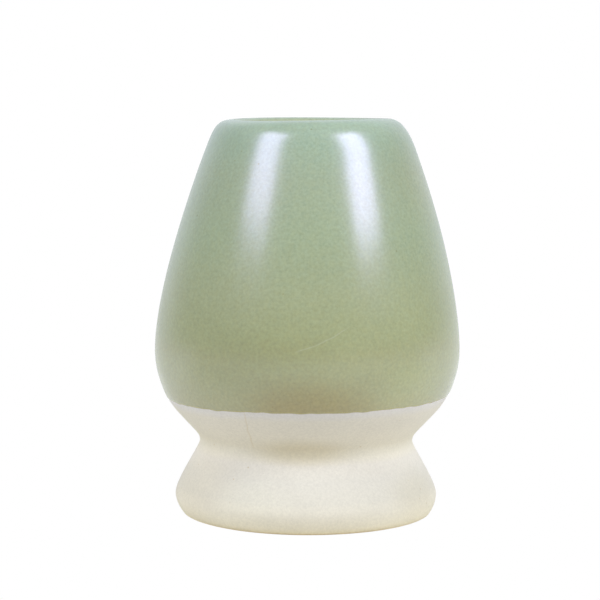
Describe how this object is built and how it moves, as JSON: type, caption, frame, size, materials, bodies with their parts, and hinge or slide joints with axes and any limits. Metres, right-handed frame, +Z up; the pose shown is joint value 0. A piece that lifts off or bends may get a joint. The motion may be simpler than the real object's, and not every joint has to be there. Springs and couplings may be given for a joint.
{
  "type": "matcha whisk stand",
  "caption": "Hollow ceramic stand that keeps a matcha whisk in shape: a tapered bulb with an open mouth, a narrow waist and a rounded foot, celadon glaze above bare stoneware.",
  "frame": {"origin": "centre of the flat foot ring that the stand rests on, at the bottom of its axis", "axes": "+Z up along the axis of turning, out of the mouth; +X and +Y are any two directions across it"},
  "size_m": [0.056, 0.056, 0.073],
  "materials": {
    "bare_stoneware": "matt unglazed cream stoneware with fine grain",
    "celadon_glaze": "satin grey-green celadon glaze, browner where it thins at its lower edge"
  },
  "bodies": {
    "root": {"stoneware_body": "bare_stoneware", "celadon_glaze": "celadon_glaze"}
  },
  "joints": []
}
